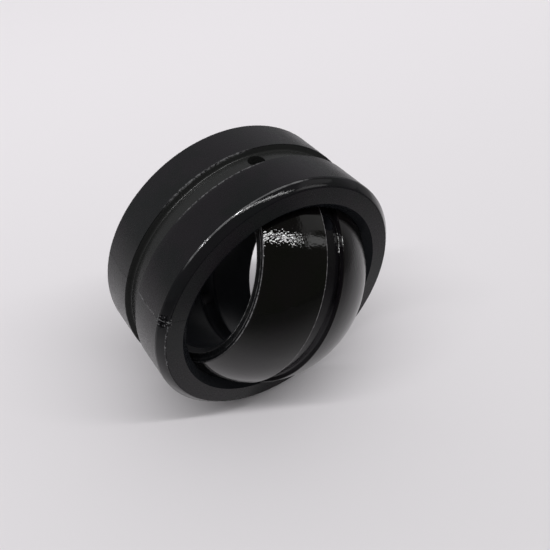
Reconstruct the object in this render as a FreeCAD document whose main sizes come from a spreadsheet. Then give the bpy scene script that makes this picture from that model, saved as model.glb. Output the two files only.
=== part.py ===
import FreeCAD, Part
import math
import os
import Sketcher

# Radial spherical plain bearing: an outer ring with a spherical race, and an inner ring whose
# outside is a ball that turns any way in that race.
#
# Frame: the origin is the centre of the ball, +Y is the outer ring's axis and +Z is up.
# Each ring is drawn with its axis on Y, then the inner ring is swivelled to the rest pose.
# Lengths are millimetres and angles are degrees.

SIZES = (
    ("bore_diameter", 25.0, "bore for the shaft"),
    ("inner_width", 21.0, "width of the inner ring"),
    ("end_land", 2.1202, "inner ring's end face, from the bore to the ball; makes the ball 36"),
    ("race_clearance", 0.03, "radial play between ball and race"),
    ("outer_wall", 2.97, "outer ring's wall over the ball's middle; makes the outside 42"),
    ("outer_width", 18.0, "width of the outer ring"),
    ("outer_chamfer", 1.0, "chamfer at both ends of the outer ring's outside"),
    ("outer_edge_radius", 0.3, "rounding of that chamfer's two edges"),
    ("mouth_depth", 1.06, "depth of the sloped race mouth in from the end face"),
    ("mouth_angle", 45.0, "slope of the race mouth against the axis"),
    ("feed_groove_width", 3.6, "grease groove round the outside of the outer ring"),
    ("feed_groove_depth", 0.9, "depth of that groove"),
    ("feed_wall_angle", 18.0, "lean of that groove's walls, away from its middle"),
    ("feed_groove_corner", 0.3, "rounding of that groove's two floor corners"),
    ("feed_hole_diameter", 2.5, "two opposite grease holes through the outer ring"),
    ("feed_hole_angle", 3.5, "turn of those holes from straight up, towards +X"),
    ("split_gap", 0.04, "width of the fracture that lets the outer ring over the ball"),
    ("split_angle", 69.0, "turn of the fracture from straight up, towards -X"),
    ("split_wander", 0.35, "how far the fracture strays to each side"),
    ("bore_chamfer", 0.7, "chamfer at both ends of the bore"),
    ("rim_radius", 0.25, "rounding where the ball meets the inner ring's end faces"),
    ("ball_groove_width", 3.3, "grease groove round the middle of the ball"),
    ("ball_groove_depth", 0.9, "depth of that groove"),
    ("ball_groove_corner", 0.2, "rounding of that groove's two floor corners"),
    ("ball_groove_lip", 0.1, "rounding of that groove's two lips"),
    ("bore_groove_width", 2.8, "grease groove round the middle of the bore"),
    ("bore_groove_depth", 0.7, "depth of that groove"),
    ("spread_hole_diameter", 2.5, "two opposite grease holes through the inner ring"),
    ("spread_hole_angle", 1.5, "turn of those holes from straight up, towards -X"),
    ("swivel_angle", 86.7, "turn of the inner ring about the swivel axis at rest"),
    ("swivel_lean_angle", 31.2, "lean of the swivel axis from straight up, towards +X"),
)

# The fracture's course: its place along the axis as a share of the width, and its stray to the
# side as a share of the wander. It starts and ends just past the end faces.
SPLIT_COURSE = ((-0.55, 0.4), (-0.28, -0.6), (-0.05, 0.3), (0.22, -1.0), (0.38, 0.5), (0.55, 0.0))

# How far a groove's outline stands past the surface that it cuts.
PROUD = 1.0

# Two circles closer than this are the same one.
SAME = 1e-4

# The ball meets the rim of the inner ring's end face. The race and the outside follow the ball.
BALL = "sqrt((Sizes.bore_diameter / 2 + Sizes.end_land) ^ 2 + Sizes.inner_width ^ 2 / 4)"
RACE = f"({BALL} + Sizes.race_clearance)"
OUTSIDE = f"({RACE} + Sizes.outer_wall)"

# A sketch's own numbers for the points of a line or an arc, for its vertical axis and for its
# origin, which is the first point of its horizontal axis.
START, END, CENTRE = range(1, 4)
H_AXIS, V_AXIS = range(-1, -3, -1)
ORIGIN = (H_AXIS, START)

doc = FreeCAD.newDocument("spherical_plain_bearing")


def make_sheet():
    """Puts each driving dimension in a row: its name, its value and what it is."""
    sheet = doc.addObject("Spreadsheet::Sheet", "Sizes")
    for row, (name, value, meaning) in enumerate(SIZES, start=1):
        sheet.set(f"A{row}", name)
        sheet.set(f"B{row}", str(value))
        sheet.set(f"C{row}", meaning)
        sheet.setAlias(f"B{row}", name)
    doc.recompute()
    return sheet


sheet = make_sheet()


def size(name):
    return float(getattr(sheet, name))


def value(expression):
    return float(sheet.evalExpression(expression))


def make_body(label):
    body = doc.addObject("PartDesign::Body", label)
    body.Label = label
    return body


def make_sketch(body, name, role):
    """An empty sketch on one of the body's own origin planes."""
    sketch = body.newObject("Sketcher::SketchObject", name)
    plane = [item for item in body.Origin.OriginFeatures if item.Role == role][0]
    sketch.AttachmentSupport = (plane, [""])
    sketch.MapMode = "FlatFace"
    return sketch


def turn_about(target, prop, axis, angle):
    """Binds a placement to a turn: axis and angle are written in the sheet's terms."""
    direction = f"create(<<vector>>; {'; '.join(axis)})"
    turn = f"create(<<rotation>>; {direction}; {angle})"
    target.setExpression(prop, f"create(<<placement>>; create(<<vector>>; 0; 0; 0); {turn})")


def draw_loop(sketch, pieces):
    """Adds the pieces of one closed outline in order and joins each end to the next start.

    A piece is two points for a line, or start, middle and end for an arc that runs the way the
    outline goes. Returns, for each piece, its number and which of its points are its start and
    end, because an arc is kept counter-clockwise.
    """
    placed = []
    for points in pieces:
        points = [FreeCAD.Vector(along, out, 0) for along, out in points]
        if len(points) == 2:
            number = sketch.addGeometry(Part.LineSegment(*points), False)
            placed.append((number, START, END))
            continue
        number = sketch.addGeometry(Part.Arc(*points), False)
        kept = sketch.Geometry[number]
        first = points[0]
        forward = kept.StartPoint.distanceToPoint(first) < kept.EndPoint.distanceToPoint(first)
        placed.append((number, START, END) if forward else (number, END, START))
    for index, (number, _, end) in enumerate(placed):
        following, start, _ = placed[(index + 1) % len(placed)]
        sketch.addConstraint(Sketcher.Constraint("Coincident", number, end, following, start))
    return placed


def bind(sketch, kind, name, expression, *where):
    """Adds a named dimension at its drawn value and ties it to the sheet."""
    drawn = sketch.evalExpression(expression)
    number = sketch.addConstraint(Sketcher.Constraint(kind, *where, drawn))
    sketch.renameConstraint(number, name)
    sketch.setExpression(f"Constraints.{name}", expression)


def revolve(body, kind, name, sketch):
    """A full turn of the sketch about the ring's axis, which is the sketch's own H axis."""
    feature = body.newObject(kind, name)
    feature.Profile = sketch
    feature.ReferenceAxis = (sketch, ["H_Axis"])
    feature.Angle = 360.0
    sketch.Visibility = False
    doc.recompute()
    return feature


def ring_edges(shape, places):
    """Names of the whole circles of this shape that lie at the given radius and place along Y."""
    found = []
    for number, edge in enumerate(shape.Edges, start=1):
        if not isinstance(edge.Curve, Part.Circle):
            continue
        radius, along = edge.Curve.Radius, edge.Curve.Center.y
        if any(abs(radius - r) < SAME and abs(along - y) < SAME for r, y in places):
            found.append(f"Edge{number}")
    return found


def dress(body, kind, name, prop, expression, places):
    """A chamfer or fillet on the circles at the given places of the body's last feature."""
    base = body.Tip
    feature = body.newObject(kind, name)
    feature.Base = (base, ring_edges(base.Shape, places))
    feature.setExpression(prop, expression)
    doc.recompute()
    return feature


def both_ends(radius, half_width):
    return ((radius, half_width), (radius, -half_width))


def drill_through(body, name, diameter, angle):
    """Two opposite holes across the ring: straight up, then turned about the ring's axis."""
    sketch = make_sketch(body, name + "_sketch", "XY_Plane")
    turn_about(sketch, "AttachmentOffset", ("0", "1", "0"), angle)
    circle = Part.Circle(FreeCAD.Vector(0, 0, 0), FreeCAD.Vector(0, 0, 1), size(diameter) / 2)
    sketch.addGeometry(circle, False)
    sketch.addConstraint(Sketcher.Constraint("Coincident", 0, CENTRE, *ORIGIN))
    bind(sketch, "Diameter", "diameter", f"Sizes.{diameter}", 0)
    hole = body.newObject("PartDesign::Pocket", name)
    hole.Profile = sketch
    hole.SideType = "Symmetric"
    hole.Type = "ThroughAll"
    sketch.Visibility = False
    doc.recompute()
    return hole


def build_outer_ring():
    body = make_body("outer_ring")
    half = size("outer_width") / 2
    outside = value(OUTSIDE)
    race = value(RACE)

    # The section: outside, end face, sloped mouth, race, mouth and end face.
    race_half = half - size("mouth_depth")
    race_end = (race_half, math.sqrt(race ** 2 - race_half ** 2))
    mouth = race_end[1] + size("mouth_depth") * math.tan(math.radians(size("mouth_angle")))
    section = make_sketch(body, "ring_section", "YZ_Plane")
    loop = draw_loop(section, (
        ((-half, outside), (half, outside)),
        ((half, outside), (half, mouth)),
        ((half, mouth), race_end),
        (race_end, (0, race), (-race_end[0], race_end[1])),
        ((-race_end[0], race_end[1]), (-half, mouth)),
        ((-half, mouth), (-half, outside)),
    ))
    top, face, front_mouth, race_arc, back_mouth, back_face = [number for number, _, _ in loop]
    for constraint in (
        ("Symmetric", top, START, top, END, V_AXIS),
        ("Symmetric", face, END, back_face, START, V_AXIS),
        ("Vertical", face),
        ("Coincident", race_arc, CENTRE, *ORIGIN),
    ):
        section.addConstraint(Sketcher.Constraint(*constraint))
    bind(section, "DistanceX", "width", "Sizes.outer_width", top, START, top, END)
    bind(section, "DistanceY", "outside", OUTSIDE, *ORIGIN, top, END)
    bind(section, "Radius", "race", RACE, race_arc)
    bind(section, "DistanceX", "race_half", "Sizes.outer_width / 2 - Sizes.mouth_depth",
         *ORIGIN, front_mouth, END)
    bind(section, "Angle", "front_slope", "(180 + Sizes.mouth_angle) * 1 deg", front_mouth)
    bind(section, "Angle", "back_slope", "(180 - Sizes.mouth_angle) * 1 deg", back_mouth)
    revolve(body, "PartDesign::Revolution", "ring", section)
    chamfer = size("outer_chamfer")
    dress(body, "PartDesign::Chamfer", "outside_chamfers", "Size", "Sizes.outer_chamfer",
          both_ends(outside, half))
    dress(body, "PartDesign::Fillet", "outside_edges", "Radius", "Sizes.outer_edge_radius",
          both_ends(outside, half - chamfer) + both_ends(outside - chamfer, half))

    # The outer grease groove has a flat floor with rounded corners and walls that lean apart.
    reach = size("feed_groove_width") / 2
    floor = outside - size("feed_groove_depth")
    floor_reach = reach - size("feed_groove_depth") * math.tan(math.radians(size("feed_wall_angle")))
    groove = make_sketch(body, "feed_groove_sketch", "YZ_Plane")
    loop = draw_loop(groove, (
        ((-floor_reach, floor), (floor_reach, floor)),
        ((floor_reach, floor), (reach, outside)),
        ((reach, outside), (reach, outside + PROUD)),
        ((reach, outside + PROUD), (-reach, outside + PROUD)),
        ((-reach, outside + PROUD), (-reach, outside)),
        ((-reach, outside), (-floor_reach, floor)),
    ))
    base, wall, rise, lid, back_rise, back_wall = [number for number, _, _ in loop]
    for constraint in (
        ("Symmetric", base, START, base, END, V_AXIS),
        ("Symmetric", wall, END, back_wall, START, V_AXIS),
        ("Symmetric", lid, START, lid, END, V_AXIS),
        ("Vertical", rise),
    ):
        groove.addConstraint(Sketcher.Constraint(*constraint))
    bind(groove, "DistanceX", "width", "Sizes.feed_groove_width", lid, END, lid, START)
    bind(groove, "DistanceY", "outside", OUTSIDE, *ORIGIN, wall, END)
    bind(groove, "DistanceY", "depth", "Sizes.feed_groove_depth", wall, START, wall, END)
    bind(groove, "DistanceY", "proud", f"{PROUD}", rise, START, rise, END)
    bind(groove, "Angle", "lean", "(90 - Sizes.feed_wall_angle) * 1 deg", wall)
    revolve(body, "PartDesign::Groove", "feed_groove", groove)
    dress(body, "PartDesign::Fillet", "feed_groove_corners", "Radius", "Sizes.feed_groove_corner",
          both_ends(floor, floor_reach))
    drill_through(body, "feed_holes", "feed_hole_diameter", "Sizes.feed_hole_angle")
    cut_split(body)
    return body


def cut_split(body):
    """The fracture: a hair gap that wanders from one end face to the other, on one side only."""
    sketch = make_sketch(body, "split_sketch", "XY_Plane")
    turn_about(sketch, "AttachmentOffset", ("0", "1", "0"), "-Sizes.split_angle")
    course = [(share, stray, "+") for share, stray in SPLIT_COURSE]
    course += [(share, stray, "-") for share, stray in reversed(SPLIT_COURSE)]
    aside = [f"Sizes.split_wander * {stray} {side} Sizes.split_gap / 2" for _, stray, side in course]
    along = [f"Sizes.outer_width * {share}" for share, _, _ in course]
    points = [tuple(float(sketch.evalExpression(term)) for term in pair) for pair in zip(aside, along)]
    lines = draw_loop(sketch, tuple(zip(points, points[1:] + points[:1])))
    for index, (number, start, _) in enumerate(lines):
        bind(sketch, "DistanceX", f"aside_{index}", aside[index], *ORIGIN, number, start)
        bind(sketch, "DistanceY", f"along_{index}", along[index], *ORIGIN, number, start)
    split = body.newObject("PartDesign::Pocket", "split")
    split.Profile = sketch
    split.Type = "ThroughAll"
    split.Reversed = True
    sketch.Visibility = False
    doc.recompute()
    return split


def build_inner_ring():
    body = make_body("inner_ring")
    half = size("inner_width") / 2
    ball = value(BALL)
    bore = size("bore_diameter") / 2
    rim = bore + size("end_land")

    # The section: bore, end face, ball and end face.
    section = make_sketch(body, "ball_section", "YZ_Plane")
    loop = draw_loop(section, (
        ((-half, bore), (half, bore)),
        ((half, bore), (half, rim)),
        ((half, rim), (0, ball), (-half, rim)),
        ((-half, rim), (-half, bore)),
    ))
    inside, face, ball_arc, back_face = [number for number, _, _ in loop]
    for constraint in (
        ("Symmetric", inside, START, inside, END, V_AXIS),
        ("Vertical", face),
        ("Vertical", back_face),
        ("Coincident", ball_arc, CENTRE, *ORIGIN),
    ):
        section.addConstraint(Sketcher.Constraint(*constraint))
    bind(section, "DistanceX", "width", "Sizes.inner_width", inside, START, inside, END)
    bind(section, "DistanceY", "bore", "Sizes.bore_diameter / 2", *ORIGIN, inside, END)
    bind(section, "DistanceY", "land", "Sizes.end_land", face, START, face, END)
    revolve(body, "PartDesign::Revolution", "ball_ring", section)
    dress(body, "PartDesign::Chamfer", "bore_chamfers", "Size", "Sizes.bore_chamfer",
          both_ends(bore, half))
    dress(body, "PartDesign::Fillet", "rims", "Radius", "Sizes.rim_radius", both_ends(rim, half))

    # The groove round the ball has a flat floor with rounded corners.
    reach = size("ball_groove_width") / 2
    floor = ball - size("ball_groove_depth")
    groove = make_sketch(body, "ball_groove_sketch", "YZ_Plane")
    loop = draw_loop(groove, (
        ((-reach, floor), (reach, floor)),
        ((reach, floor), (reach, ball + PROUD)),
        ((reach, ball + PROUD), (-reach, ball + PROUD)),
        ((-reach, ball + PROUD), (-reach, floor)),
    ))
    base, wall, lid, _ = [number for number, _, _ in loop]
    for constraint in (
        ("Symmetric", base, START, base, END, V_AXIS),
        ("Symmetric", lid, START, lid, END, V_AXIS),
        ("Vertical", wall),
    ):
        groove.addConstraint(Sketcher.Constraint(*constraint))
    bind(groove, "DistanceX", "width", "Sizes.ball_groove_width", base, START, base, END)
    bind(groove, "DistanceY", "floor", f"{BALL} - Sizes.ball_groove_depth", *ORIGIN, base, END)
    bind(groove, "DistanceY", "wall", f"Sizes.ball_groove_depth + {PROUD}", wall, START, wall, END)
    revolve(body, "PartDesign::Groove", "ball_groove", groove)
    dress(body, "PartDesign::Fillet", "ball_groove_corners", "Radius", "Sizes.ball_groove_corner",
          both_ends(floor, reach))
    dress(body, "PartDesign::Fillet", "ball_groove_lips", "Radius", "Sizes.ball_groove_lip",
          both_ends(math.sqrt(ball ** 2 - reach ** 2), reach))

    # The groove round the bore is a plain arc.
    reach = size("bore_groove_width") / 2
    groove = make_sketch(body, "bore_groove_sketch", "YZ_Plane")
    loop = draw_loop(groove, (
        ((-reach, bore - PROUD), (reach, bore - PROUD)),
        ((reach, bore - PROUD), (reach, bore)),
        ((reach, bore), (0, bore + size("bore_groove_depth")), (-reach, bore)),
        ((-reach, bore), (-reach, bore - PROUD)),
    ))
    base, wall, arc, back_wall = [number for number, _, _ in loop]
    for constraint in (
        ("Symmetric", base, START, base, END, V_AXIS),
        ("PointOnObject", arc, CENTRE, V_AXIS),
        ("Vertical", wall),
        ("Vertical", back_wall),
    ):
        groove.addConstraint(Sketcher.Constraint(*constraint))
    bind(groove, "DistanceX", "width", "Sizes.bore_groove_width", base, START, base, END)
    bind(groove, "DistanceY", "base", f"Sizes.bore_diameter / 2 - {PROUD}", *ORIGIN, base, END)
    bind(groove, "DistanceY", "bore", f"{PROUD}", wall, START, wall, END)
    bind(groove, "Radius", "arc",
         "(Sizes.bore_groove_width ^ 2 / 4 + Sizes.bore_groove_depth ^ 2) / (2 * Sizes.bore_groove_depth)",
         arc)
    revolve(body, "PartDesign::Groove", "bore_groove", groove)
    drill_through(body, "spread_holes", "spread_hole_diameter", "-Sizes.spread_hole_angle")

    # The rest pose: swivelled nearly square to the outer ring.
    lean = "Sizes.swivel_lean_angle * 1 deg"
    turn_about(body, "Placement", (f"sin({lean})", "0", f"cos({lean})"), "Sizes.swivel_angle")
    return body


def check(bodies):
    """Stops with a plain message if any feature failed or a ring isn't one sound solid."""
    for item in doc.Objects:
        if "Invalid" in item.State or "Error" in item.State:
            raise RuntimeError(f"{item.Name} failed: {item.State}")
    for body in bodies:
        if body.Shape.isNull() or not body.Shape.isValid() or len(body.Shape.Solids) != 1:
            raise RuntimeError(f"{body.Label} isn't one sound solid")


def write(bodies):
    os.makedirs("parts", exist_ok=True)
    for body in bodies:
        body.Shape.exportStep(f"parts/{body.Label}.step")


rings = (build_outer_ring(), build_inner_ring())
doc.recompute()
check(rings)
write(rings)
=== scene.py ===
import math

import bpy
from mathutils import Matrix, Vector

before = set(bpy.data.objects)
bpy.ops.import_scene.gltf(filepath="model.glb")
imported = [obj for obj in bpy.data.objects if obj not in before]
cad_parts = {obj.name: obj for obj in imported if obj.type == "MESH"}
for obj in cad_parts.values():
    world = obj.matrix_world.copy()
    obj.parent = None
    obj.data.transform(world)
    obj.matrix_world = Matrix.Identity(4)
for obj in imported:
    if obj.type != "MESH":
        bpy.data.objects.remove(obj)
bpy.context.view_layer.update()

# The scene is in metres, and the sizes here are written in millimetres.
MM = 0.001

# The rings, in millimetres and degrees, as the solids have them.
OUTER_RADIUS = 21.0
OUTER_HALF_WIDTH = 9.0
OUTER_CHAMFER = 1.0
MOUTH_RADIUS = 17.25
FEED_GROOVE_HALF = 1.8
FEED_GROOVE_DEPTH = 0.9
FEED_GROOVE_FLOOR = OUTER_RADIUS - FEED_GROOVE_DEPTH
INNER_HALF_WIDTH = 10.5
RIM_RADIUS = 14.6
BORE_RADIUS = 12.5
BORE_CHAMFER = 0.7
BALL_RADIUS = 18.0
BALL_GROOVE_HALF = 1.65
BALL_GROOVE_LIP = 17.92
BALL_GROOVE_DEPTH = 0.9
BALL_GROOVE_FLOOR = BALL_RADIUS - BALL_GROOVE_DEPTH
FLOOR_HEIGHT = -OUTER_RADIUS
SWIVEL_LEAN = 31.2
SWIVEL_ANGLE = 86.7

# The fracture through the outer ring: its turn from straight up, towards -X, and its course, as the
# share of the width and the share of the wander at each of its turning points.
SPLIT_TURN = 69.0
SPLIT_WANDER = 0.35
SPLIT_COURSE = ((-0.55, 0.4), (-0.28, -0.6), (-0.05, 0.3), (0.22, -1.0), (0.38, 0.5), (0.55, 0.0))

# The camera, in millimetres and degrees: it looks down on the rings from the front left, from a
# hand's width away.
CAMERA_TARGET = (2.47, -2.75, -0.45)
CAMERA_DISTANCE = 100.0
CAMERA_AZIMUTH = -34.24
CAMERA_ELEVATION = 44.09
CAMERA_LENS = 41.02
CAMERA_SENSOR = 36.0
CAMERA_NEAREST = 1.0
CAMERA_FARTHEST = 20000.0

# A colour mix has inputs of every type. These are the numbers of its share and its two colours, and of
# its colour output.
MIX_SHARE, MIX_FIRST, MIX_SECOND = 0, 6, 7
MIX_RESULT = 2


def direction(azimuth, elevation):
    """Azimuth 0 is the front, -Y, and 90 is +X; both angles are in degrees."""
    a, e = math.radians(azimuth), math.radians(elevation)
    return Vector((math.sin(a) * math.cos(e), -math.cos(a) * math.cos(e), math.sin(e)))


class Graph:
    """Adds shader nodes to one tree and joins them. An input may be a number, a tuple or a socket."""

    def __init__(self, tree):
        self.tree = tree
        tree.nodes.clear()

    def add(self, kind, inputs=(), **settings):
        node = self.tree.nodes.new(kind)
        for name, value in settings.items():
            setattr(node, name, value)
        for name, value in dict(inputs).items():
            self.put(node.inputs[name], value)
        return node

    def put(self, socket, value):
        if isinstance(value, bpy.types.NodeSocket):
            self.tree.links.new(value, socket)
        elif value is not None:
            socket.default_value = value

    def math(self, operation, first, second=None, third=None, clamp=False):
        node = self.add("ShaderNodeMath", operation=operation, use_clamp=clamp)
        for index, value in enumerate((first, second, third)):
            self.put(node.inputs[index], value)
        return node.outputs[0]

    def product(self, first, *others):
        for other in others:
            first = self.math("MULTIPLY", first, other)
        return first

    def largest(self, first, *others):
        for other in others:
            first = self.math("MAXIMUM", first, other)
        return first

    def vector(self, operation, first, second=None):
        node = self.add("ShaderNodeVectorMath", operation=operation)
        self.put(node.inputs[0], first)
        self.put(node.inputs[1], second)
        return node.outputs["Value"] if operation in ("LENGTH", "DOT_PRODUCT") else node.outputs["Vector"]

    def scaled(self, vector, factor):
        node = self.add("ShaderNodeVectorMath", {"Scale": factor}, operation="SCALE")
        self.put(node.inputs[0], vector)
        return node.outputs["Vector"]

    def split(self, vector):
        return self.add("ShaderNodeSeparateXYZ", {"Vector": vector}).outputs

    def join(self, x, y, z):
        return self.add("ShaderNodeCombineXYZ", {"X": x, "Y": y, "Z": z}).outputs[0]

    def noise(self, place, scale, detail, roughness):
        sizes = {"Vector": place, "Scale": scale, "Detail": detail, "Roughness": roughness}
        return self.add("ShaderNodeTexNoise", sizes).outputs["Fac"]

    def between(self, value, low, high, from_low=0.0, to_high=1.0):
        """Value rescaled smoothly, so that low gives from_low and high gives to_high."""
        node = self.add("ShaderNodeMapRange", interpolation_type="SMOOTHSTEP")
        for index, number in enumerate((value, low, high, from_low, to_high)):
            self.put(node.inputs[index], number)
        return node.outputs[0]

    def falls(self, value, low, high):
        """1 up to low and 0 from high on."""
        return self.between(value, low, high, 1.0, 0.0)

    def fade(self, value, start, reach, rest):
        """1 up to the start, and from there it falls off towards the rest."""
        past = self.math("MAXIMUM", self.math("SUBTRACT", value, start), 0.0)
        left = self.math("EXPONENT", self.math("DIVIDE", past, -reach))
        return self.math("MULTIPLY_ADD", left, 1 - rest, rest)

    def mix(self, share, first, second):
        node = self.add("ShaderNodeMix", data_type="RGBA")
        self.put(node.inputs[MIX_SHARE], share)
        self.put(node.inputs[MIX_FIRST], first)
        self.put(node.inputs[MIX_SECOND], second)
        return node.outputs[MIX_RESULT]

    def layered(self, colour, regions, colours):
        """The colour with each named region's colour laid over it in turn."""
        for name, layer in colours.items():
            colour = self.mix(regions[name], colour, layer)
        return colour

    def shifted(self, value, regions, changes):
        """The value, changed in each named region by that region's number."""
        for name, change in changes.items():
            value = self.math("MULTIPLY_ADD", regions[name], change, value)
        return value

    def bump(self, height, distance):
        return self.add("ShaderNodeBump", {"Height": height, "Distance": distance}).outputs[0]


def new_material(name):
    material = bpy.data.materials.new(name)
    material.use_nodes = True
    return material, Graph(material.node_tree)


def finish_material(graph, shader):
    graph.add("ShaderNodeOutputMaterial", {"Surface": shader.outputs[0]})


def object_place(graph):
    """The shaded point in the object's own frame, in millimetres."""
    return graph.scaled(graph.add("ShaderNodeTexCoord").outputs["Object"], 1 / MM)


def turn_back(graph, place):
    """Turns the inner ring's place back from its rest pose, so that its axis is Y."""
    lean = math.radians(SWIVEL_LEAN)
    node = graph.add("ShaderNodeVectorRotate", {"Vector": place}, rotation_type="AXIS_ANGLE")
    node.inputs["Axis"].default_value = (math.sin(lean), 0.0, math.cos(lean))
    node.inputs["Angle"].default_value = -math.radians(SWIVEL_ANGLE)
    return node.outputs[0]


class RingPlace:
    """Where a shaded point is on a ring whose axis is Y, in millimetres.

    Along is its place on the axis and off its distance from the ring's middle that way. Radius is its
    distance from the axis, and heading its direction round it.
    """

    def __init__(self, graph, point):
        x, y, z = graph.split(point)
        flat = graph.join(x, 0.0, z)
        self.point = point
        self.along = y
        self.off = graph.math("ABSOLUTE", y)
        self.radius = graph.vector("LENGTH", flat)
        self.heading = graph.vector("NORMALIZE", flat)


# Millimetres from a face, between which its mask changes over. Some masks take a few margins.
CLOSE = 0.02
MARGIN = 0.05

# The noise of the turning marks, given like every noise as its scale, its detail and its roughness.
MARKS_NOISE = (1.0, 3.0, 0.6)


def turning_marks(graph, ring, pitch, reach):
    """Fine lines that run round the axis: they change quickly across and slowly round the ring."""
    across = graph.math("MULTIPLY", graph.math("ADD", ring.along, ring.radius), 1 / pitch)
    x, _, z = graph.split(graph.scaled(ring.heading, reach))
    return graph.noise(graph.join(x, across, z), *MARKS_NOISE)


def near_edge(graph, ring, along, radius, width):
    """1 on a circular edge and its mirror image, and 0 from the given width on."""
    aside = graph.math("SUBTRACT", ring.off, along)
    out = graph.math("SUBTRACT", ring.radius, radius)
    return graph.falls(graph.vector("LENGTH", graph.join(aside, out, 0.0)), 0.0, width)


def end_face(graph, ring, half_width):
    """1 on both end faces, and 0 elsewhere."""
    return graph.between(ring.off, half_width - MARGIN, half_width - CLOSE)


def groove_inside(graph, ring, half_width, lip_radius):
    """1 inside a groove round the ring, and 0 outside it."""
    within = graph.falls(ring.off, half_width - MARGIN, half_width + MARGIN)
    return graph.product(within, graph.falls(ring.radius, lip_radius - 3 * MARGIN, lip_radius - MARGIN))


def above_floor(graph, ring, floor_radius):
    """1 above a groove's floor, and 0 on it."""
    return graph.between(ring.radius, floor_radius + CLOSE, floor_radius + MARGIN)


def round_about(graph, ring, turn, reach):
    """1 at a turn from straight up, towards -X, and 0 from the given reach on; both in degrees."""
    middle = math.radians(turn)
    facing = graph.vector("DOT_PRODUCT", ring.heading, (-math.sin(middle), 0.0, math.cos(middle)))
    return graph.between(facing, math.cos(math.radians(reach)), math.cos(math.radians(reach / 2)))


# Both rings: the shine and the refraction of their black film, and the ranges over which noise turns
# one hue into the other and a low roughness into a high one.
SHINE = 0.5
FILM_IOR = 1.5
HUE_RANGE = (0.35, 0.65)
ROUGH_RANGE = (0.3, 0.7)

# The outer ring's colours, what takes from its shine, and its roughness. Its two hues take turns in
# patches.
OUTER_PATCHES = (0.16, 3.0, 0.55)
OUTER_TEAL = (0.003, 0.0042, 0.0042, 1)
OUTER_PURPLE = (0.0062, 0.0046, 0.0066, 1)
OUTER_COLOURS = {
    "groove": (0.018, 0.0185, 0.018, 1),
    "inside": (0.011, 0.012, 0.014, 1),
    "chamfer_tint": (0.011, 0.011, 0.012, 1),
    # Painted shade: the chip is darker than the chamfer round it.
    "chip": (0.004, 0.004, 0.0045, 1),
    "rubbed": (0.5, 0.5, 0.51, 1),
}
OUTER_DULLING = {
    "end_face": -0.27,
    "dull_land": -0.1,
    "inside": -0.48,
    "groove_wall": -0.42,
    # Painted shade: the chip's shine is dulled.
    "chip": -0.2,
    "chamfer": -0.18,
    "dull_chamfer": -0.1,
}
OUTER_ROUGH = (0.22, 0.3)
GRAIN_ROUGH = (-0.04, 0.05)
CHAMFER_SMOOTHING = {"chamfer": -0.72}

# The outer ring's regions, in millimetres and degrees. A turn is where something is round the ring,
# and how far it reaches. Inside is the race with its mouth, and the dull land is a stretch of the
# ring's front part. Here and below, a pair called along, off, side or range is the two values between
# which a mask changes over.
INSIDE_BLUR = 0.08
BRIGHT_WALL_TURN = (22.0, 26.0)
BRIGHT_WALL_SHARE = 0.7
DULL_LAND_TURN = (30.0, 45.0)
DULL_LAND_ALONG = (-3.0, -1.8)
DULL_CHAMFER_TURN = (62.0, 17.0)
CHAMFER_TINT = 0.6

# The outer ring's relief, in millimetres: the grain and what weakens it, the turning marks, the chip's
# depth, and the chamfer's crown, as its radius and the place of its top across the chamfer.
OUTER_GRAIN = (3.2, 4.0, 0.65)
GRAIN_HEIGHT = 0.008
GRAIN_CHANGES = {"chamfer": -0.004, "end_face": -0.005}
OUTER_MARK_PITCH = 0.22
OUTER_MARK_REACH = 7.0
OUTER_MARK_HEIGHT = 0.008
CHIP_SINK = {"chip": -0.015}
CROWN_RADIUS = 3.5
CROWN_TOP = 0.267

# Where the outer ring is rubbed bright: the edges of its chamfers, the lips of its groove, a burst
# line on the fracture and specks beside it. A break is a noise that interrupts a line, and the skin
# range is the radius at which the outside begins.
OUTER_WEAR = (0.9, 4.0, 0.7)
OUTER_WEAR_RANGE = (0.42, 0.6)
UPPER_EDGE_INSET = 0.06
UPPER_EDGE_WIDTH = 0.16
UPPER_EDGE_TURN = (17.0, 31.0)
UPPER_EDGE_WEAR = 0.7
LOWER_EDGE_WIDTH = 0.2
LOWER_EDGE_TURN = (82.0, 16.0)
LOWER_EDGE_BREAKS = (2.4, 1.0, 0.5)
LOWER_EDGE_RANGE = (0.42, 0.58)
LOWER_EDGE_SHARE = 0.5
LIP_WIDTH = 0.3
LIP_TURN = (17.0, 22.0)
LIP_BREAKS = (2.2, 3.0, 0.7)
LIP_RANGE = (0.4, 0.62)
LIP_SHARE = 0.5
SKIN_RANGE = (19.3, 19.8)
BURST_RANGE = (0.03, 0.14)
BURST_ALONG = (-3.0, -1.5)
SPECK_NOISE = (3.4, 1.0, 0.6)
SPECK_RANGE = (0.62, 0.68)
SPECK_REACH = (0.5, 1.1)
SPECK_ALONG = (-7.0, -6.0)
SPECK_SHARE = 0.3

# The chip, in millimetres: its middle, its ragged outline and its size. Its darker colour and duller
# shine are painted shade in the dent.
CHIP_RADIUS = 20.6
CHIP_ALONG = -8.4
CHIP_NOISE = (2.6, 2.0, 0.6)
CHIP_RAGGED = 3.4
CHIP_RANGE = (2.2, 2.7)

# Added to the distance from the fracture on the ring's other side.
FAR_AWAY = 100.0


def stray_grey(stray):
    """A share from -1 to 1 as a grey from 0 to 1."""
    return (stray / 2 + 0.5,) * 3 + (1.0,)


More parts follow.
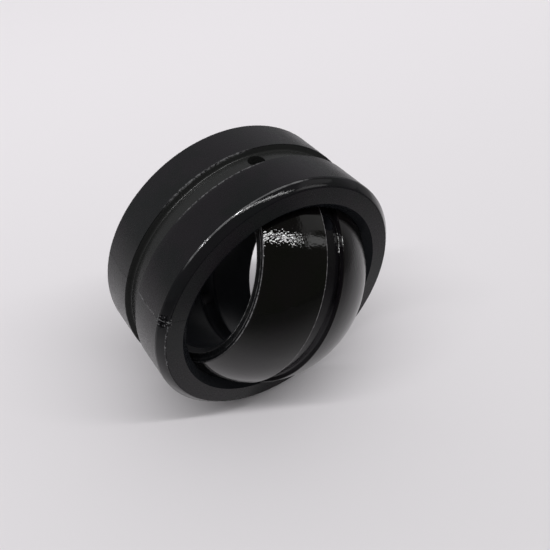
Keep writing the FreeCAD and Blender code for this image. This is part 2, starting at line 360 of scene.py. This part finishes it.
def split_stray(graph, along):
    """How far the fracture strays aside at a place along the axis, in millimetres."""
    first, last = SPLIT_COURSE[0][0], SPLIT_COURSE[-1][0]
    share = graph.math("DIVIDE", along, 2 * OUTER_HALF_WIDTH)
    place = graph.math("DIVIDE", graph.math("SUBTRACT", share, first), last - first)
    node = graph.add("ShaderNodeValToRGB", {"Fac": place})
    elements = node.color_ramp.elements
    for element, (_, stray) in zip(elements, (SPLIT_COURSE[0], SPLIT_COURSE[-1])):
        element.color = stray_grey(stray)
    for turning_point, stray in SPLIT_COURSE[1:-1]:
        elements.new((turning_point - first) / (last - first)).color = stray_grey(stray)
    return graph.product(graph.math("SUBTRACT", node.outputs["Color"], 0.5), 2 * SPLIT_WANDER)


def from_fracture(graph, ring):
    """Millimetres round the ring from the fracture, far away on the ring's other side."""
    turn = math.radians(SPLIT_TURN)
    outward = graph.vector("DOT_PRODUCT", ring.point, (-math.sin(turn), 0.0, math.cos(turn)))
    aside = graph.vector("DOT_PRODUCT", ring.point, (math.cos(turn), 0.0, math.sin(turn)))
    off = graph.math("ABSOLUTE", graph.math("SUBTRACT", aside, split_stray(graph, ring.along)))
    return graph.math("ADD", off, graph.between(outward, 0.0, 1.0, FAR_AWAY, 0.0))


def chip(graph, ring):
    """1 in the small chip that the fracture left in the front chamfer, painted as shade, and 0 round it.
    """
    turn = math.radians(SPLIT_TURN)
    spot = (-math.sin(turn) * CHIP_RADIUS, CHIP_ALONG, math.cos(turn) * CHIP_RADIUS)
    far = graph.vector("LENGTH", graph.vector("SUBTRACT", ring.point, spot))
    ragged = graph.math("MULTIPLY_ADD", graph.noise(ring.point, *CHIP_NOISE), CHIP_RAGGED, far)
    return graph.falls(ragged, *CHIP_RANGE)


def chamfer_crown(graph, ring):
    """Height of the outer chamfer's crown, in millimetres: it rolls over towards the outside."""
    out = graph.math("SUBTRACT", ring.radius, ring.off)
    start = OUTER_RADIUS - OUTER_HALF_WIDTH - OUTER_CHAMFER
    across = graph.math("DIVIDE", graph.math("SUBTRACT", out, start), 2 * OUTER_CHAMFER, clamp=True)
    across = graph.math("MULTIPLY_ADD", across, OUTER_CHAMFER * math.sqrt(2), -CROWN_TOP)
    return graph.product(across, across, -0.5 / CROWN_RADIUS)


def outer_rubbed(graph, ring):
    """1 where the outer ring is rubbed bright, and 0 where its black film is whole."""
    wear = graph.between(graph.noise(ring.point, *OUTER_WEAR), *OUTER_WEAR_RANGE)
    upper_edge = graph.product(
        near_edge(graph, ring, OUTER_HALF_WIDTH - OUTER_CHAMFER + UPPER_EDGE_INSET,
                  OUTER_RADIUS - UPPER_EDGE_INSET, UPPER_EDGE_WIDTH),
        round_about(graph, ring, *UPPER_EDGE_TURN),
        graph.math("MULTIPLY_ADD", wear, UPPER_EDGE_WEAR, 1 - UPPER_EDGE_WEAR))
    lower_edge = graph.product(
        near_edge(graph, ring, OUTER_HALF_WIDTH, OUTER_RADIUS - OUTER_CHAMFER, LOWER_EDGE_WIDTH),
        round_about(graph, ring, *LOWER_EDGE_TURN),
        graph.between(graph.noise(ring.point, *LOWER_EDGE_BREAKS), *LOWER_EDGE_RANGE),
        LOWER_EDGE_SHARE)
    lips = graph.product(
        near_edge(graph, ring, FEED_GROOVE_HALF, OUTER_RADIUS, LIP_WIDTH),
        round_about(graph, ring, *LIP_TURN),
        graph.between(graph.noise(ring.point, *LIP_BREAKS), *LIP_RANGE),
        LIP_SHARE)
    fracture = from_fracture(graph, ring)
    skin = graph.between(ring.radius, *SKIN_RANGE)
    burst = graph.product(
        graph.falls(fracture, *BURST_RANGE),
        graph.falls(ring.along, *BURST_ALONG),
        skin)
    specks = graph.product(
        graph.between(graph.noise(ring.point, *SPECK_NOISE), *SPECK_RANGE),
        graph.falls(fracture, *SPECK_REACH),
        graph.falls(ring.along, *SPECK_ALONG),
        skin,
        SPECK_SHARE)
    worn = graph.product(graph.largest(lower_edge, burst), wear)
    return graph.largest(worn, lips, specks, upper_edge)


def outer_regions(graph, ring):
    """The outer ring's regions by name: each is 1 inside and 0 outside, or a share between them."""
    groove = groove_inside(graph, ring, FEED_GROOVE_HALF, OUTER_RADIUS)
    bright_wall = round_about(graph, ring, *BRIGHT_WALL_TURN)
    chamfer_sum = OUTER_RADIUS + OUTER_HALF_WIDTH - OUTER_CHAMFER
    chamfer = graph.between(graph.math("ADD", ring.radius, ring.off),
                            chamfer_sum - 4 * MARGIN, chamfer_sum - 2 * MARGIN)
    return {
        "end_face": end_face(graph, ring, OUTER_HALF_WIDTH),
        "groove": groove,
        "groove_wall": graph.product(
            groove,
            above_floor(graph, ring, FEED_GROOVE_FLOOR),
            graph.math("MULTIPLY_ADD", bright_wall, -BRIGHT_WALL_SHARE, 1.0)),
        "inside": graph.falls(ring.radius, MOUTH_RADIUS, MOUTH_RADIUS + INSIDE_BLUR),
        "dull_land": graph.product(
            round_about(graph, ring, *DULL_LAND_TURN),
            graph.falls(ring.along, *DULL_LAND_ALONG)),
        "chamfer": chamfer,
        "chamfer_tint": graph.product(chamfer, CHAMFER_TINT),
        "dull_chamfer": graph.product(chamfer, round_about(graph, ring, *DULL_CHAMFER_TURN)),
        "chip": chip(graph, ring),
        "rubbed": outer_rubbed(graph, ring),
    }


def outer_steel():
    """Black phosphated steel: satin, with faint turning marks, rubbed edges and dull groove walls."""
    material, graph = new_material("outer_steel")
    ring = RingPlace(graph, object_place(graph))
    regions = outer_regions(graph, ring)
    patches = graph.noise(ring.point, *OUTER_PATCHES)
    grain = graph.noise(ring.point, *OUTER_GRAIN)
    marks = turning_marks(graph, ring, OUTER_MARK_PITCH, OUTER_MARK_REACH)

    colour = graph.mix(graph.between(patches, *HUE_RANGE), OUTER_TEAL, OUTER_PURPLE)
    rough = graph.math("ADD", graph.between(patches, *ROUGH_RANGE, *OUTER_ROUGH),
                       graph.between(grain, *ROUGH_RANGE, *GRAIN_ROUGH))
    height = graph.math("ADD", graph.product(grain, graph.shifted(GRAIN_HEIGHT, regions, GRAIN_CHANGES)),
                        graph.product(marks, OUTER_MARK_HEIGHT))
    height = graph.math("ADD", height, chamfer_crown(graph, ring))
    shader = graph.add("ShaderNodeBsdfPrincipled", {
        "Base Color": graph.layered(colour, regions, OUTER_COLOURS),
        "Metallic": regions["rubbed"],
        "Roughness": graph.product(rough, graph.shifted(1.0, regions, CHAMFER_SMOOTHING)),
        "IOR": FILM_IOR,
        "Specular IOR Level": graph.shifted(SHINE, regions, OUTER_DULLING),
        "Normal": graph.bump(graph.shifted(height, regions, CHIP_SINK), MM),
    })
    finish_material(graph, shader)
    return material


# The inner ring's colours. Its end faces are streaked, and darker low down as painted shade.
BALL_PATCHES = (0.2, 3.0, 0.55)
BALL_OLIVE = (0.0016, 0.0018, 0.0012, 1)
BALL_PURPLE = (0.0024, 0.0018, 0.002, 1)
BALL_COLOURS = {
    "groove": (0.004, 0.0036, 0.0045, 1),
    # Painted light: the groove's wall is lighter than its shade lets it look.
    "groove_wall": (0.011, 0.009, 0.0115, 1),
    # Painted shade: the groove's corner is darker.
    "shaded_corner": (0.002, 0.0018, 0.0022, 1),
    # Painted reflection: the pale far side of the groove stands for the bright floor that it reflects.
    "painted_reflection": (0.034, 0.032, 0.035, 1),
    "bore": (0.017, 0.018, 0.022, 1),
    "lead_in": (0.008, 0.0085, 0.01, 1),
}
FACE_DARK = (0.009, 0.0093, 0.01, 1)
FACE_STREAK = (0.02, 0.02, 0.02, 1)
# Painted shade: the lower part of the end faces is darker.
FACE_SHADE = (0.004, 0.0044, 0.0048, 1)
FACE_SHADE_RANGE = (-0.1, 0.5)
STREAK_PITCH = 0.3
STREAK_REACH = 9.0
STREAK_RANGE = (0.45, 0.65)
# Pale lines, partly wear and partly painted highlight.
BALL_WEAR_AND_HIGHLIGHT_COLOURS = {
    "rubbed": (0.32, 0.31, 0.32, 1),
    "bared_with_painted_highlight": (0.8, 0.78, 0.8, 1),
}

# The inner ring's shine, roughness and relief, the relief in millimetres.
BALL_DULLING = {"groove": -0.15, "groove_wall": -0.25, "shaded_corner": -0.1}
EDGE_DULLING = {"dull_edge": -0.3}
BALL_ROUGH = (0.07, 0.1)
BALL_ROUGHENING = {"wrinkled": -0.04, "dry_groove": 0.12, "dull_bore": 0.22, "rubbed": 0.2}
SWELL = (0.8, 2.0, 0.5)
SWELL_HEIGHT = 0.012
BALL_MARK_PITCH = 0.12
BALL_MARK_REACH = 6.0
BALL_MARK_HEIGHT = 0.004
WRINKLES = (3.3, 0.8, 0.5)
WRINKLE_HEIGHT = 0.028

# The oil film: where it lies, as ranges of the heading's upward and sideways parts, and how it thins
# out to one side and towards the ball's middle. Some of it has run into the groove.
FILM_UP = (0.3, 0.6)
FILM_SIDE = (-0.5, -0.38)
FILM_THIN_SIDE = (-0.12, -0.03)
FILM_THIN = 0.25
FILM_OFF = (3.6, 6.0)
FILM_MIDDLE = 0.4
POOL_ALONG = (-0.8, -0.4)
POOL_SIDE = (-0.3, -0.26)

# The inner ring's regions, in millimetres. The bore's region takes in the groove round the bore, and
# the lead-in is the chamfer at each end of it. The painted reflection is a paler stretch of the ball
# groove's far side, standing for the bright floor that it reflects. Side and corner are how near the
# groove's side and its floor the rounded corner lies; the corner is painted darker as shade.
BORE_REACH = (0.85, 0.9)
HOLE_OFF = (1.9, 2.0)
PAINTED_REFLECTION_ALONG = (-1.1, -0.5)
PAINTED_REFLECTION_SIDE = (-0.9, -0.6)
SIDE_START = 0.27
SIDE_FULL = 0.2
CORNER_START = 0.2
CORNER_END = 0.3

# Where the inner ring is rubbed, partly wear and partly painted highlight: pale lines on the groove's
# lip, the rim, the edge of the bore and a line between them. The last three are painted mostly on the
# upper side, where the light falls.
BALL_WEAR = (1.6, 3.0, 0.7)
BALL_WEAR_RANGE = (0.4, 0.58)
BALL_WEAR_SHARE = 0.75
BALL_LIP_WIDTH = 0.22
BALL_LIP_ALONG = (0.0, 0.5)
RIM_INSET = 0.1
RIM_WIDTH = 0.14
BORE_EDGE_WIDTH = 0.16
BORE_EDGE_SHARE = 0.4
FACE_LINE_RADIUS = 14.05
FACE_LINE_WIDTH = 0.12
FACE_LINE_SHARE = 0.2
LIT_SIDE_RANGE = (0.1, 0.4)
LIT_SIDE_SHARE = (0.1, 0.7)


def ball_wear_and_highlights(graph, ring, upwards):
    """Two masks, partly wear and partly painted highlight: the inner ring rubbed grey, and its steel
    bare.
    """
    wear = graph.between(graph.noise(ring.point, *BALL_WEAR), *BALL_WEAR_RANGE)
    worn = graph.math("MULTIPLY_ADD", wear, BALL_WEAR_SHARE, 1 - BALL_WEAR_SHARE)
    # Painted highlight: most lines are kept to the upper side, where the light falls.
    lit_side = graph.between(upwards, *LIT_SIDE_RANGE, *LIT_SIDE_SHARE)
    lip = graph.product(
        near_edge(graph, ring, BALL_GROOVE_HALF, BALL_GROOVE_LIP, BALL_LIP_WIDTH),
        graph.between(ring.along, *BALL_LIP_ALONG))
    rim = graph.product(near_edge(graph, ring, INNER_HALF_WIDTH, RIM_RADIUS - RIM_INSET, RIM_WIDTH), lit_side)
    bore_edge = graph.product(
        near_edge(graph, ring, INNER_HALF_WIDTH, BORE_RADIUS + BORE_CHAMFER, BORE_EDGE_WIDTH),
        BORE_EDGE_SHARE)
    face_line = graph.product(
        near_edge(graph, ring, INNER_HALF_WIDTH, FACE_LINE_RADIUS, FACE_LINE_WIDTH),
        FACE_LINE_SHARE)
    return {
        "rubbed": graph.product(graph.largest(lip, rim), worn),
        "bared_with_painted_highlight": graph.product(graph.largest(bore_edge, face_line), lit_side, worn),
    }


def ball_regions(graph, ring, sideways, upwards):
    """The inner ring's regions by name: each is 1 inside and 0 outside, or a share between them."""
    groove = groove_inside(graph, ring, BALL_GROOVE_HALF, BALL_GROOVE_LIP)
    film = graph.product(
        graph.between(upwards, *FILM_UP),
        graph.between(sideways, *FILM_SIDE),
        graph.between(sideways, *FILM_THIN_SIDE, 1.0, FILM_THIN))
    pool = graph.product(
        film, groove,
        graph.falls(ring.along, *POOL_ALONG),
        graph.between(sideways, *POOL_SIDE))
    thick_film = graph.product(film, graph.between(ring.off, *FILM_OFF, FILM_MIDDLE, 1.0))

    lead_in_start = INNER_HALF_WIDTH - BORE_CHAMFER
    lead_in_radius = BORE_RADIUS + BORE_CHAMFER
    lead_in = graph.product(
        graph.falls(ring.radius, lead_in_radius, lead_in_radius + CLOSE),
        graph.between(ring.off, lead_in_start - CLOSE, lead_in_start + CLOSE))
    hole = graph.product(
        graph.falls(ring.radius, BALL_GROOVE_FLOOR - 4 * MARGIN, BALL_GROOVE_FLOOR - 2 * MARGIN),
        graph.falls(ring.off, *HOLE_OFF))
    bore = graph.product(
        graph.falls(ring.radius, *(BORE_RADIUS + reach for reach in BORE_REACH)),
        graph.falls(ring.off, lead_in_start - CLOSE, lead_in_start + CLOSE))
    bore = graph.largest(bore, hole)

    # A painted reflection: a paler stretch of the groove's far side.
    painted_reflection = graph.product(
        groove,
        graph.falls(ring.along, *PAINTED_REFLECTION_ALONG),
        graph.falls(sideways, *PAINTED_REFLECTION_SIDE))
    side = graph.between(ring.off, BALL_GROOVE_HALF - SIDE_START, BALL_GROOVE_HALF - SIDE_FULL)
    # The groove's wall is given a lighter colour, as painted light.
    groove_wall = graph.product(
        groove,
        graph.largest(above_floor(graph, ring, BALL_GROOVE_FLOOR), side),
        graph.math("SUBTRACT", 1.0, painted_reflection))
    # The groove's corner, painted darker as shade.
    shaded_corner = graph.falls(ring.radius, BALL_GROOVE_FLOOR + CORNER_START, BALL_GROOVE_FLOOR + CORNER_END)
    return {
        "groove": groove,
        "groove_wall": groove_wall,
        "shaded_corner": graph.product(groove_wall, shaded_corner),
        "painted_reflection": painted_reflection,
        "dry_groove": graph.math("SUBTRACT", groove, pool),
        "pool": pool,
        "wrinkled": graph.largest(thick_film, pool),
        "bore": bore,
        "lead_in": lead_in,
        "dull_bore": graph.largest(bore, lead_in),
        "dull_edge": graph.largest(lead_in, hole),
        "end_face": end_face(graph, ring, INNER_HALF_WIDTH),
        **ball_wear_and_highlights(graph, ring, upwards),
    }


def ball_colour(graph, ring, regions, upwards):
    """Near black, with paler grooves, bore and end faces, and pale lines of wear and painted highlight.
    """
    patches = graph.between(graph.noise(ring.point, *BALL_PATCHES), *HUE_RANGE)
    # The groove's lighter wall is painted light, its darker corner painted shade and its pale far side a
    # painted reflection.
    colour = graph.layered(graph.mix(patches, BALL_OLIVE, BALL_PURPLE), regions, BALL_COLOURS)
    streaks = graph.between(turning_marks(graph, ring, STREAK_PITCH, STREAK_REACH), *STREAK_RANGE)
    face = graph.mix(streaks, FACE_DARK, FACE_STREAK)
    # Painted shade: the end faces grow darker low down.
    face = graph.mix(graph.between(upwards, *FACE_SHADE_RANGE), FACE_SHADE, face)
    colour = graph.mix(regions["end_face"], colour, face)
    return graph.layered(colour, regions, BALL_WEAR_AND_HIGHLIGHT_COLOURS)


def ball_steel():
    """Black oxidised steel, ground smooth, under a film of oil that lies in wrinkles on its top."""
    material, graph = new_material("ball_steel")
    ring = RingPlace(graph, turn_back(graph, object_place(graph)))
    sideways, _, upwards = graph.split(ring.heading)
    regions = ball_regions(graph, ring, sideways, upwards)
    patches = graph.noise(ring.point, *BALL_PATCHES)
    marks = turning_marks(graph, ring, BALL_MARK_PITCH, BALL_MARK_REACH)
    wrinkles = graph.product(graph.noise(ring.point, *WRINKLES), regions["wrinkled"])

    shine = graph.shifted(SHINE, regions, BALL_DULLING)
    shine = graph.math("MAXIMUM", shine, graph.product(regions["pool"], SHINE))
    rough = graph.between(patches, *ROUGH_RANGE, *BALL_ROUGH)
    height = graph.product(graph.noise(ring.point, *SWELL), SWELL_HEIGHT)
    height = graph.math("MULTIPLY_ADD", marks, BALL_MARK_HEIGHT, height)
    height = graph.math("MULTIPLY_ADD", wrinkles, WRINKLE_HEIGHT, height)
    shader = graph.add("ShaderNodeBsdfPrincipled", {
        "Base Color": ball_colour(graph, ring, regions, upwards),
        "Metallic": 0.0,
        "Roughness": graph.shifted(rough, regions, BALL_ROUGHENING),
        "IOR": FILM_IOR,
        "Specular IOR Level": graph.shifted(shine, regions, EDGE_DULLING),
        "Normal": graph.bump(height, MM),
    })
    finish_material(graph, shader)
    return material


def dress(node, material):
    """Gives a CAD node a better material."""
    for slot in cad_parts[node].material_slots:
        slot.material = material


def make_camera():
    data = bpy.data.cameras.new("camera")
    data.lens = CAMERA_LENS
    data.sensor_width = CAMERA_SENSOR
    data.clip_start = CAMERA_NEAREST * MM
    data.clip_end = CAMERA_FARTHEST * MM
    camera = bpy.data.objects.new("camera", data)
    bpy.context.scene.collection.objects.link(camera)
    back = direction(CAMERA_AZIMUTH, CAMERA_ELEVATION)
    camera.location = (Vector(CAMERA_TARGET) + back * CAMERA_DISTANCE) * MM
    camera.rotation_mode = "QUATERNION"
    camera.rotation_quaternion = (-back).to_track_quat("-Z", "Y")
    bpy.context.scene.camera = camera


# The floor: pale, and a little darker towards the camera as painted shade. In reflections it is darkened
# further as painted shade: it falls off with its distance from the rings, once more towards the dark
# room in front, and beyond the sheet's edge at the right.
FLOOR_SIZE = 6000.0
FLOOR_FAR = (0.87, 0.84, 0.87, 1)
FLOOR_NEAR = (0.7, 0.68, 0.7, 1)
FLOOR_DARK = (0.0, 0.0, 0.0, 1)
FLOOR_ROUGH = 0.8
FLOOR_SHINE = 0.2
FLOOR_BRIGHT_SIDE = direction(170.0, 0.0)
FLOOR_FRONT = direction(0.0, 0.0)
FLOOR_RANGE = (-120.0, 160.0)
LIT_RADIUS = 29.0
LIT_REACH = 60.0
LIT_REACH_FRONT = 40.0
LIT_REST = 0.45
LIT_REST_FRONT = 0.25
SHEET_EDGE = (115.0, 135.0)
BEYOND_SHEET = 0.6


def floor_material():
    material, graph = new_material("pale_sheet")
    place = object_place(graph)
    away = graph.vector("DOT_PRODUCT", place, tuple(FLOOR_BRIGHT_SIDE))
    forward = graph.vector("DOT_PRODUCT", place, tuple(FLOOR_FRONT))
    # Painted shade, seen only in reflections.
    lit = graph.product(
        graph.fade(graph.vector("LENGTH", place), LIT_RADIUS, LIT_REACH, LIT_REST),
        graph.fade(forward, LIT_RADIUS, LIT_REACH_FRONT, LIT_REST_FRONT),
        graph.between(graph.split(place)["X"], *SHEET_EDGE, 1.0, BEYOND_SHEET))
    glossy = graph.add("ShaderNodeLightPath").outputs["Is Glossy Ray"]
    shade = graph.product(glossy, graph.math("SUBTRACT", 1.0, lit))
    # Painted shade: the floor's colour darkens towards the camera.
    colour = graph.mix(graph.between(away, *FLOOR_RANGE), FLOOR_NEAR, FLOOR_FAR)
    shader = graph.add("ShaderNodeBsdfPrincipled", {
        "Base Color": graph.mix(shade, colour, FLOOR_DARK),
        "Roughness": FLOOR_ROUGH,
        "Specular IOR Level": FLOOR_SHINE,
    })
    finish_material(graph, shader)
    return material


def make_floor():
    half = FLOOR_SIZE / 2 * MM
    mesh = bpy.data.meshes.new("floor")
    corners = [(-half, -half, 0), (half, -half, 0), (half, half, 0), (-half, half, 0)]
    mesh.from_pydata(corners, [], [range(len(corners))])
    mesh.materials.append(floor_material())
    floor = bpy.data.objects.new("floor", mesh)
    floor.location.z = FLOOR_HEIGHT * MM
    bpy.context.scene.collection.objects.link(floor)


# The surroundings: a room that is light behind the rings and darker in front of them, where the
# camera is held, and dimmer in reflections than on the floor. A range is of the cosine of the angle
# from the dark side.
EVEN_LIGHT = (0.67, 0.67, 0.67, 1)
EVEN_DARK = (0.25, 0.25, 0.25, 1)
EVEN_DARK_SIDE = direction(-50.0, 30.0)
EVEN_RANGE = (0.0, 0.8)
ROOM_LIGHT = (0.27, 0.27, 0.28, 1)
ROOM_DARK = (0.07, 0.073, 0.062, 1)
ROOM_DARK_SIDE = direction(15.0, 45.0)
ROOM_RANGE = (0.0, 0.65)


def room_colour(graph, dark_side, cosines, light, dark):
    heading = graph.add("ShaderNodeTexCoord").outputs["Generated"]
    facing = graph.vector("DOT_PRODUCT", heading, tuple(dark_side))
    return graph.mix(graph.between(facing, *cosines), light, dark)


def make_world():
    world = bpy.data.worlds.new("room")
    world.use_nodes = True
    graph = Graph(world.node_tree)
    even = room_colour(graph, EVEN_DARK_SIDE, EVEN_RANGE, EVEN_LIGHT, EVEN_DARK)
    room = room_colour(graph, ROOM_DARK_SIDE, ROOM_RANGE, ROOM_LIGHT, ROOM_DARK)
    glossy = graph.add("ShaderNodeLightPath").outputs["Is Glossy Ray"]
    light = graph.add("ShaderNodeBackground", {"Color": graph.mix(glossy, even, room)})
    graph.add("ShaderNodeOutputWorld", {"Surface": light.outputs[0]})
    bpy.context.scene.world = world


# Ceiling lights, by name: where they start and end, as X and Y for each metre of height above the
# rings, their width for each metre of height, and their power in watts.
CEILING = 2000.0
STRIPS = {
    "ceiling_strip": ((-1.0, 0.18), (0.77, -0.73), 0.06, 36.0),
    "far_strip": ((1.0, -0.80), (2.4, -1.18), 0.3, 7.5),
    "ceiling_panel": ((0.9, -0.36), (2.5, -0.42), 0.5, 3.5),
}


def strip_light(name, start, end, width, power):
    start = Vector((*start, 1.0)) * CEILING * MM
    end = Vector((*end, 1.0)) * CEILING * MM
    data = bpy.data.lights.new(name, "AREA")
    data.shape = "RECTANGLE"
    data.size = (end - start).length
    data.size_y = width * CEILING * MM
    data.energy = power
    lamp = bpy.data.objects.new(name, data)
    lamp.location = (start + end) / 2
    along = (end - start).normalized()
    up = Vector((0, 0, 1))
    lamp.rotation_mode = "QUATERNION"
    lamp.rotation_quaternion = Matrix((along, up.cross(along), up)).transposed().to_quaternion()
    bpy.context.scene.collection.objects.link(lamp)


def make_lights():
    for name, strip in STRIPS.items():
        strip_light(name, *strip)


bpy.context.scene.view_settings.view_transform = "Standard"
make_camera()
make_world()
make_floor()
make_lights()
dress("outer_ring", outer_steel())
dress("inner_ring", ball_steel())
